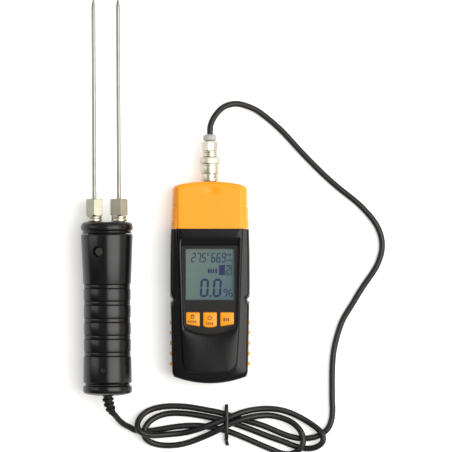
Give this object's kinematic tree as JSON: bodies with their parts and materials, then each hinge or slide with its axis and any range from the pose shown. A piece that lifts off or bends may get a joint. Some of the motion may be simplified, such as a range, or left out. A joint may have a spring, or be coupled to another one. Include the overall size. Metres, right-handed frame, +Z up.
{
  "type": "grain moisture meter",
  "caption": "Hand-held grain moisture meter with a display, keys, a bayonet-coupled cable and a two-pin probe with a turned black handle.",
  "frame": {"origin": "on the hand unit's flat back, at the middle of the unit's length and width", "axes": "+Z up from the surface that the pieces lie on; +Y along the unit towards its plug and along the probe towards its pin tips; the probe lies at -X"},
  "size_m": [0.236, 0.3557, 0.0405],
  "materials": {
    "yellow_plastic": "moulded, slightly satin",
    "black_plastic": "moulded, satin",
    "handle_plastic": "turned and polished",
    "grey_plastic": "fine texture",
    "nickel": "nickel plated brass",
    "steel": "drawn stainless rod",
    "gold": "gold flash",
    "white_insulator": "plain",
    "cable_rubber": "smooth jacket",
    "clear_lens": "clear window",
    "lcd_glass": "liquid crystal panel",
    "light_guide": "milky",
    "contact_rubber": "plain",
    "board_green": "solder mask",
    "cell_wrap": "printed sleeve without lettering",
    "lead_red": "wire insulation"
  },
  "bodies": {
    "root": {"air_sensor": "white_insulator", "back_case": "black_plastic", "backlight": "light_guide", "battery_1": "cell_wrap", "battery_2": "cell_wrap", "battery_3": "cell_wrap", "battery_4": "cell_wrap", "battery_contacts_lower": "nickel", "battery_contacts_upper": "nickel", "battery_tray": "black_plastic", "cable_cone": "grey_plastic", "cable_hank": "cable_rubber", "cable_run": "cable_rubber", "cable_tail": "cable_rubber", "cable_tie": "cable_rubber", "case_screw_1": "steel", "case_screw_2": "steel", "case_screw_3": "steel", "case_screw_4": "steel", "clamp_nut": "nickel", "display_lens": "clear_lens", "front_case": "black_plastic", "front_panel": "grey_plastic", "handle_end": "handle_plastic", "handle_screw_lower": "steel", "handle_screw_upper": "steel", "handle_shell": "handle_plastic", "handle_top": "handle_plastic", "hex_nut_left": "nickel", "hex_nut_right": "nickel", "jack_contact": "gold", "jack_insulator": "white_insulator", "jack_lead": "lead_red", "jack_ring": "nickel", "lcd_contact_strip": "contact_rubber", "lcd_panel": "lcd_glass", "main_board": "board_green", "pin_block": "white_insulator", "pin_collar_left": "nickel", "pin_collar_right": "nickel", "pin_left": "steel", "pin_right": "steel", "plug_body": "nickel", "plug_insulator": "white_insulator", "plug_pin": "gold", "probe_jack": "nickel", "side_grip_left": "yellow_plastic", "side_grip_right": "yellow_plastic", "spring_washer": "steel", "strain_relief": "cable_rubber", "top_cap": "yellow_plastic", "wire_lug_left": "nickel", "wire_lug_right": "nickel"},
    "enter_key": {"key_enter": "yellow_plastic"},
    "hold_key": {"key_hold": "yellow_plastic"},
    "set_key": {"key_set": "yellow_plastic"},
    "door": {"battery_door": "black_plastic"},
    "sleeve": {"bayonet_sleeve": "nickel"}
  },
  "joints": [
    {"name": "enter_press", "type": "slide", "parent": "root", "child": "enter_key", "axis": [0, 0, -1], "range_m": [0, 0.0008], "stiffness_N_per_m": 1900},
    {"name": "hold_press", "type": "slide", "parent": "root", "child": "hold_key", "axis": [0, 0, -1], "range_m": [0, 0.0008], "stiffness_N_per_m": 1900},
    {"name": "set_press", "type": "slide", "parent": "root", "child": "set_key", "axis": [0, 0, -1], "range_m": [0, 0.0008], "stiffness_N_per_m": 1900},
    {"name": "door_slide", "type": "slide", "parent": "root", "child": "door", "axis": [0, -1, 0], "range_m": [0, 0.012]},
    {"name": "sleeve_turn", "type": "hinge", "parent": "root", "child": "sleeve", "pos_m": [0, 0.0782, 0.0137], "axis": [0, 1, 0], "range_deg": [0, 90]}
  ]
}
